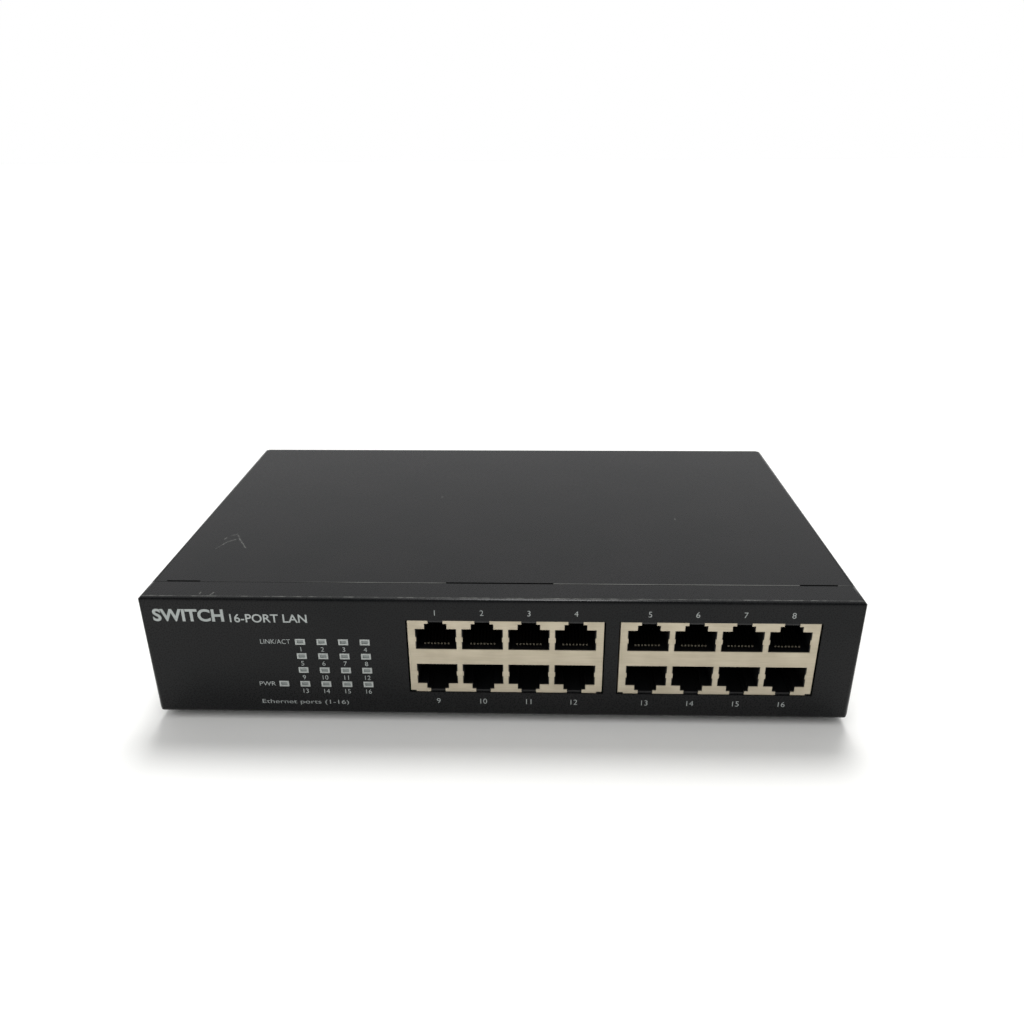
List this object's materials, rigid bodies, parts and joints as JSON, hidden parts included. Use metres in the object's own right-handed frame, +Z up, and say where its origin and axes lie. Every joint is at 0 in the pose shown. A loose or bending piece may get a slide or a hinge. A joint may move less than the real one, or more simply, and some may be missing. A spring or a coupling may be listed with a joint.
{
  "type": "desktop network switch",
  "caption": "Low steel-cased desktop network switch with two blocks of stacked jacks, an indicator bank, vents at both sides and a mains inlet at the rear.",
  "frame": {"origin": "middle of the footprint, at the underside of the feet", "axes": "+X to the right seen from the front, along the longest side; +Y to the rear; +Z up"},
  "size_m": [0.215, 0.133, 0.0438],
  "materials": {
    "powder_coat": "fine-textured charcoal powder coat on folded steel",
    "zinc_screw": "black-chromated zinc plate",
    "rubber": "matt moulded rubber",
    "label_film": "blank matt film label",
    "plated_steel": "bright tin plate",
    "green_board": "green solder mask",
    "tan_board": "bare paper-phenolic board",
    "shield_metal": "rolled, tin-plated sheet",
    "black_nylon": "black moulded nylon",
    "gold_contact": "gold-flashed spring bronze",
    "light_pipe": "milky moulded light pipe",
    "led_ceramic": "white diode body",
    "chip_epoxy": "black moulded epoxy",
    "sink_aluminium": "extruded aluminium",
    "ferrite": "sintered ferrite",
    "capacitor_sleeve": "dark shrink sleeve",
    "ivory_nylon": "ivory moulded nylon",
    "wire_jacket": "extruded PVC",
    "mains_jacket": "extruded PVC",
    "earth_jacket": "extruded PVC",
    "winding_tape": "polyester tape",
    "yellow_box": "potted plastic box",
    "fuse_glass": "glass tube with plated caps",
    "insulator_film": "translucent polyester film",
    "brass_screw": "yellow-passivated screw"
  },
  "bodies": {
    "chassis": {"chassis": "powder_coat", "foot_front_left": "rubber", "foot_front_right": "rubber", "foot_rear_left": "rubber", "foot_rear_right": "rubber", "rating_label": "label_film", "board_standoffs": "plated_steel", "board_screws": "zinc_screw", "main_board": "green_board", "jack_shield_left": "shield_metal", "jack_shield_right": "shield_metal", "jack_housing_left": "black_nylon", "jack_housing_right": "black_nylon", "contact_carriers_left": "black_nylon", "contact_carriers_right": "black_nylon", "jack_contacts_left": "gold_contact", "jack_contacts_right": "gold_contact", "light_pipe_1": "light_pipe", "light_pipe_2": "light_pipe", "light_pipe_3": "light_pipe", "light_pipe_4": "light_pipe", "power_light_pipe": "light_pipe", "light_pipe_bracket": "black_nylon", "status_leds": "led_ceramic", "switch_chip": "chip_epoxy", "switch_heat_sink": "sink_aluminium", "phy_chip_left": "chip_epoxy", "phy_chip_right": "chip_epoxy", "phy_heat_sink_left": "sink_aluminium", "phy_heat_sink_right": "sink_aluminium", "lan_transformers_left": "chip_epoxy", "lan_transformers_right": "chip_epoxy", "crystal": "plated_steel", "flash_chip": "chip_epoxy", "buck_inductor": "ferrite", "board_capacitors": "capacitor_sleeve", "board_headers": "ivory_nylon", "header_plugs": "ivory_nylon", "dc_wires": "wire_jacket", "psu_board": "tan_board", "transformer_core": "ferrite", "transformer_winding": "winding_tape", "bulk_capacitor": "capacitor_sleeve", "line_choke": "ferrite", "x_capacitor": "yellow_box", "fuse": "fuse_glass", "bridge_rectifier": "chip_epoxy", "output_capacitors": "capacitor_sleeve", "psu_heat_sink": "sink_aluminium", "switching_transistor": "chip_epoxy", "psu_insulator": "insulator_film", "mains_inlet": "black_nylon", "inlet_pins": "plated_steel", "inlet_screws": "zinc_screw", "mains_wires": "mains_jacket", "earth_wire": "earth_jacket", "earth_terminal": "plated_steel", "ground_screw": "brass_screw"},
    "cover": {"top_cover": "powder_coat", "cover_screws": "zinc_screw"}
  },
  "joints": [
    {"name": "cover_slide", "type": "slide", "parent": "chassis", "child": "cover", "axis": [0, 1, 0], "range_m": [0, 0.15]}
  ]
}
